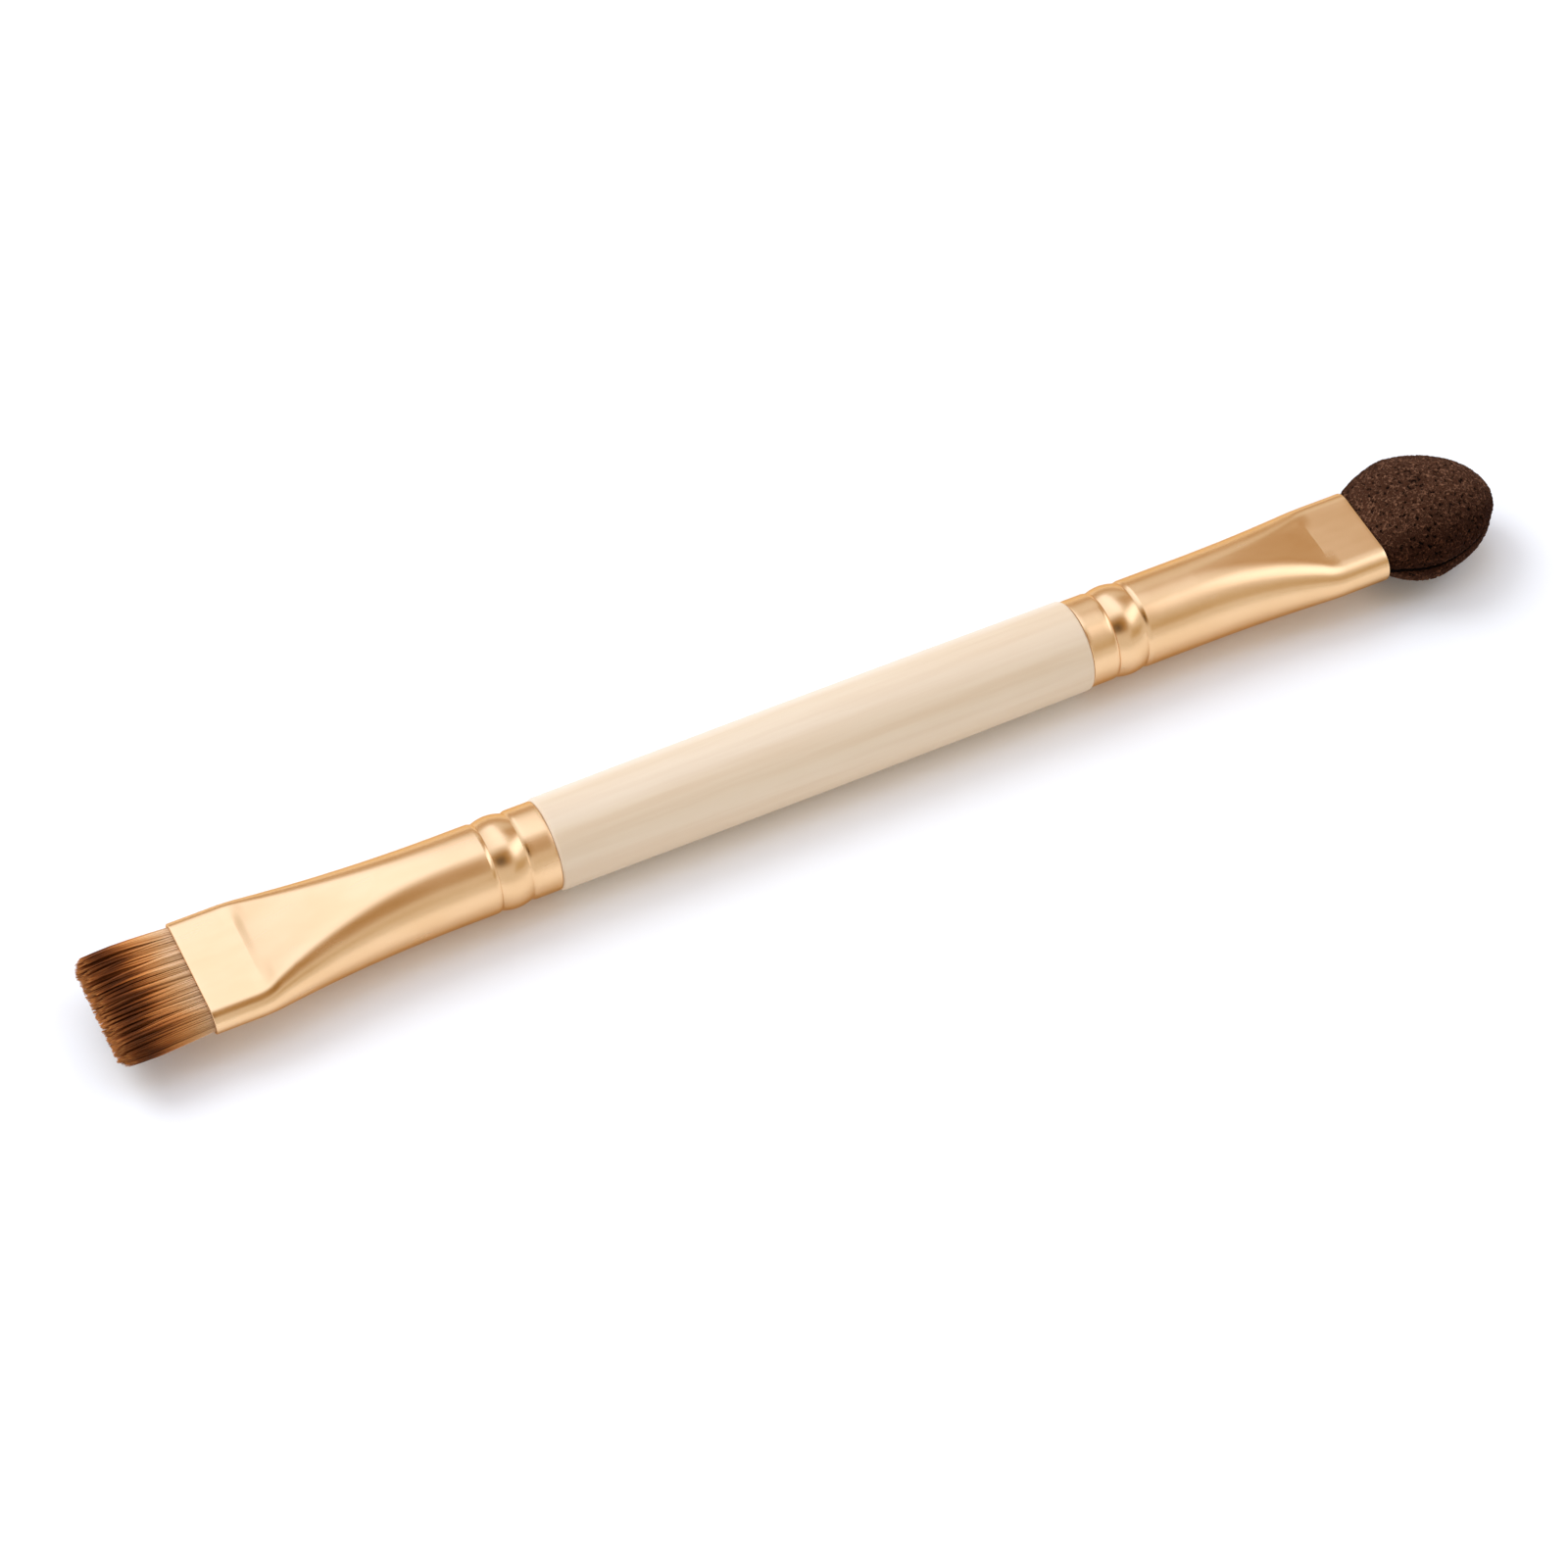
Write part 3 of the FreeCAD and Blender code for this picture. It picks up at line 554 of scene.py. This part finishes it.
def foam_pad(name, node, side):
    """One half of the sponge, on the upper (1) or lower (-1) side of the seam."""
    bpy.ops.mesh.primitive_uv_sphere_add(segments=400, ring_count=240, radius=1, rotation=(0, math.pi / 2, 0))
    pad = bpy.context.object
    pad.name = name
    bpy.ops.object.transform_apply(rotation=True)
    bpy.ops.object.mode_set(mode="EDIT")
    bpy.ops.mesh.select_all(action="SELECT")
    bpy.ops.mesh.bisect(plane_co=(0, 0, 0), plane_no=(0, 0, side), clear_inner=True, use_fill=True)
    bpy.ops.object.mode_set(mode="OBJECT")
    # The lower pad is painted lighter all over, as if lit from the table below
    painted_table_bounce = 0.6 if side < 0 else 0
    pit_and_seam_shades, painted_light_shares = [], []
    for vertex in pad.data.vertices:
        x, y, z = vertex.co
        at, width, height = pad_station(math.acos(max(-1, min(1, -x))) / math.pi)
        round_way = math.atan2(abs(z), y)
        across = math.copysign(abs(math.cos(round_way)) ** FULLNESS, y) * width
        up = math.sin(round_way) ** FULLNESS * height
        below = max(SEAM_ROUND - up, 0) / SEAM_ROUND
        tuck = SEAM_ROUND * (1 - math.sqrt(1 - below**2)) * min(1, max(0, at / (1.5 * MM)))
        nose = max(at - SPONGE_BELLY, 0)
        reach = math.hypot(nose, across)
        if reach > tuck:
            at = at - tuck * nose / reach
            across = across - tuck * across / reach
        spot = Vector((sponge_mouth + at, across, axis_height + side * up))
        lump = noise.noise(spot / LUMP_SIZE) * LUMP_HEIGHT
        worm = 1 - min(abs(noise.noise(spot / WORM_SIZE)) * 4.0, 1)
        pit = soft_step(noise.noise(spot / PIT_SIZE + PIT_SHIFT), 0.12, 0.5)
        fine = noise.noise(spot / FINE_SIZE) * FINE_HEIGHT
        # Painted shade: the pits, and a band up from the seam, are marked for darkening in the colour
        in_seam = soft_step(SEAM_SHADE - up, 0, SEAM_SOFT)
        pit_and_seam_shades.append(max(0.5 + 0.5 * pit - 0.5 * worm, in_seam))
        # Painted light and shade: lighter up from the seam and towards the back, and lighter on the lower pad
        painted_light_shares.append(up / max(height, TINY) + 0.25 * across / HALF_WIDTH + painted_table_bounce)
        outwards = Vector((max(at - SPONGE_BELLY, 0) * 0.5, across * 0.6, side * up)).normalized()
        shown = min(1, max(0, at / (0.6 * MM))) * min(1, up / (0.1 * MM))
        vertex.co = spot + outwards * (lump + fine + worm * WORM_HEIGHT - pit * PIT_DEPTH) * shown
    for key, values in (("pore", pit_and_seam_shades), ("height", painted_light_shares)):
        pad.data.attributes.new(key, "FLOAT", "POINT").data.foreach_set("value", values)
    bpy.ops.object.mode_set(mode="EDIT")
    bpy.ops.mesh.select_all(action="SELECT")
    bpy.ops.mesh.normals_make_consistent(inside=False)
    bpy.ops.object.mode_set(mode="OBJECT")
    bpy.ops.object.shade_smooth_by_angle(angle=math.radians(50))
    pad.select_set(False)
    pad.data.materials.append(foam)
    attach(pad, "root")
    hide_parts(node)


foam_pad("sponge_upper_foam", "sponge_upper_half", 1)
foam_pad("sponge_lower_foam", "sponge_lower_half", -1)


# Inner pieces
# Cured epoxy round the roots and the tenons, and the moulded core of the sponge. They are hidden in the
# ferrules and the foam, and show only when the brush is taken apart.
glue, shader, place = new_finish("cured_epoxy", IOR=1.55)
haze = place.stretched(400, 400).cloud(3)
place.feed(shader["Base Color"], haze.between(0.35, 0.65).mix((0.60, 0.50, 0.31), (0.68, 0.58, 0.40)))
place.feed(shader["Roughness"], 0.3 + haze * 0.2)
core, shader, place = new_finish("moulded_core")
flow = place.stretched(120, 500).cloud(2)
place.feed(shader["Base Color"], flow.between(0.3, 0.7).mix((0.66, 0.64, 0.58), (0.72, 0.70, 0.65)))
place.feed(shader["Roughness"], 0.4 + flow * 0.15)
for node in ("bristle_epoxy_plug", "brush_tenon_glue", "sponge_tenon_glue", "sponge_glue_plug"):
    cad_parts[node].material_slots[0].material = glue
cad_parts["sponge_core"].material_slots[0].material = core


# Floor
# A white table top under the brush, large enough to fill the view. It isn't part of the object and only
# catches the shadow.
bpy.ops.mesh.primitive_plane_add(size=4)
floor = bpy.context.object
floor.name = "floor"
table_top, shader, place = new_finish("white_table_top", Roughness=0.9, Specular_IOR_Level=0.1)
faint = place.stretched(40, 40).cloud()
place.feed(shader["Base Color"], faint.mix((0.95, 0.955, 0.957), (0.965, 0.968, 0.97)))
floor.data.materials.append(table_top)


# Light
# A white studio, drawn on a ceiling by the metres to the right and to the back for each metre of height: a
# wide soft box above and behind, a strip above the sponge end, and the dim warm room between and in front,
# which the metal shows as its darker bands. A soft lamp behind throws the shadow towards the camera.
LOWEST = 0.02
ROOM = (0.805, 0.785, 0.755)
SOFT_BOX = (0, -2.2, 0.36, -0.05, 2.1, 0.09)
SOFT_BOX_LEFT, SOFT_BOX_RIGHT = (0.95, 0.98, 1.06), (1.46, 1.60, 1.95)
# Each panel: degrees turned, left, right, near and far edge, softness, colour
PANELS = (
    # Far wall, low behind the brush
    (0, -9, 9, 2.6, 60, 0.5, (0.62, 0.48, 0.34)),
    # Bright wall, low on the left
    (0, -40, -2.4, -3, 12, 0.4, (1.5, 1.5, 1.55)),
    # Dim gap between the soft box and the strip
    (32, 0.67, 4.5, -0.25, 0.42, 0.12, (0.56, 0.40, 0.24)),
    # Strip light above the sponge end
    (32, 0.12, 1.9, -1.0, -0.32, 0.10, (1.8, 1.92, 2.25)),
    # Dark room in front, in the brush ferrule's lower band
    (0, -0.8, 0.34, -1.15, -0.2, 0.10, (0.40, 0.215, 0.01)),
    # Its darkest place, in the beads
    (0, -0.62, -0.02, -1.0, -0.45, 0.13, (0.05, 0.025, 0.006)),
    # Dim room in front on the right, in the sponge ferrule's lower band
    (0, 0.62, 2.8, -3.0, -1.12, 0.12, (0.56, 0.43, 0.23)),
)
world = bpy.data.worlds.new("white_studio")
bpy.context.scene.world = world
world.use_nodes = True
sky = Shade(world.node_tree)
way = sky.node("ShaderNodeTexCoord", {}, {}, "Generated")
height = way.node("ShaderNodeSeparateXYZ", {}, {0: way}, "Z").maths("MAXIMUM", LOWEST)
to_right = way.node("ShaderNodeSeparateXYZ", {}, {0: way}, "X").maths("DIVIDE", height)
to_back = way.node("ShaderNodeSeparateXYZ", {}, {0: way}, "Y").maths("DIVIDE", height)


def panel(degrees, left, right, near, far, soft):
    """1 inside a rectangle on the ceiling that is turned by some degrees, falling to 0 over soft edges."""
    turned = math.radians(degrees)
    along = to_right * math.cos(turned) + to_back * math.sin(turned)
    across = to_back * math.cos(turned) - to_right * math.sin(turned)
    inside = along.between(left - soft, left + soft) * (1 - along.between(right - soft, right + soft))
    return inside * across.between(near - soft, near + soft) * (1 - across.between(far - soft, far + soft))


light = panel(*SOFT_BOX).mix(ROOM, to_right.between(-1.0, 0.2).mix(SOFT_BOX_LEFT, SOFT_BOX_RIGHT))
for *edges, colour in PANELS:
    light = panel(*edges).mix(light, colour)
sky.feed(world.node_tree.nodes["Background"].inputs["Color"], light)

bpy.ops.object.light_add(type="AREA", location=(-0.36, 0.55, 0.75))
lamp = bpy.context.object
lamp.name = "soft_lamp"
lamp.rotation_euler = Vector(lamp.location).to_track_quat("Z", "Y").to_euler()
lamp.data.shape = "DISK"
lamp.data.size = 0.55
lamp.data.energy = 3.5
lamp.data.color = (0.93, 1.0, 1.06)
lamp.visible_glossy = False


# Camera
# A long lens above the near side, nearer to the bristles, as the photograph was taken. A point of the
# brush's axis is set on its pixel of the photograph, at a known distance.
AZIMUTH, ELEVATION = math.radians(-25.9), math.radians(51.5)
FOCAL = 4625
AIM = Vector((-4.9 * MM, 0, 4.65 * MM))
AIM_PIXEL = (790.1, 774.0)
DEPTH = 409 * MM
IMAGE = 1600
SENSOR = 36
back = Vector(
    (
        math.sin(AZIMUTH) * math.cos(ELEVATION),
        -math.cos(AZIMUTH) * math.cos(ELEVATION),
        math.sin(ELEVATION),
    )
)
turn = (-back).to_track_quat("-Z", "Y")
ray = Vector(((AIM_PIXEL[0] - IMAGE / 2) / FOCAL, (IMAGE / 2 - AIM_PIXEL[1]) / FOCAL, -1))
bpy.ops.object.camera_add(location=AIM - DEPTH * (turn @ ray), rotation=turn.to_euler())
camera = bpy.context.object
camera.data.sensor_width = SENSOR
camera.data.lens = SENSOR * FOCAL / IMAGE
camera.data.clip_start, camera.data.clip_end = 0.01, 20
bpy.context.scene.camera = camera
bpy.context.scene.view_settings.view_transform = "Standard"
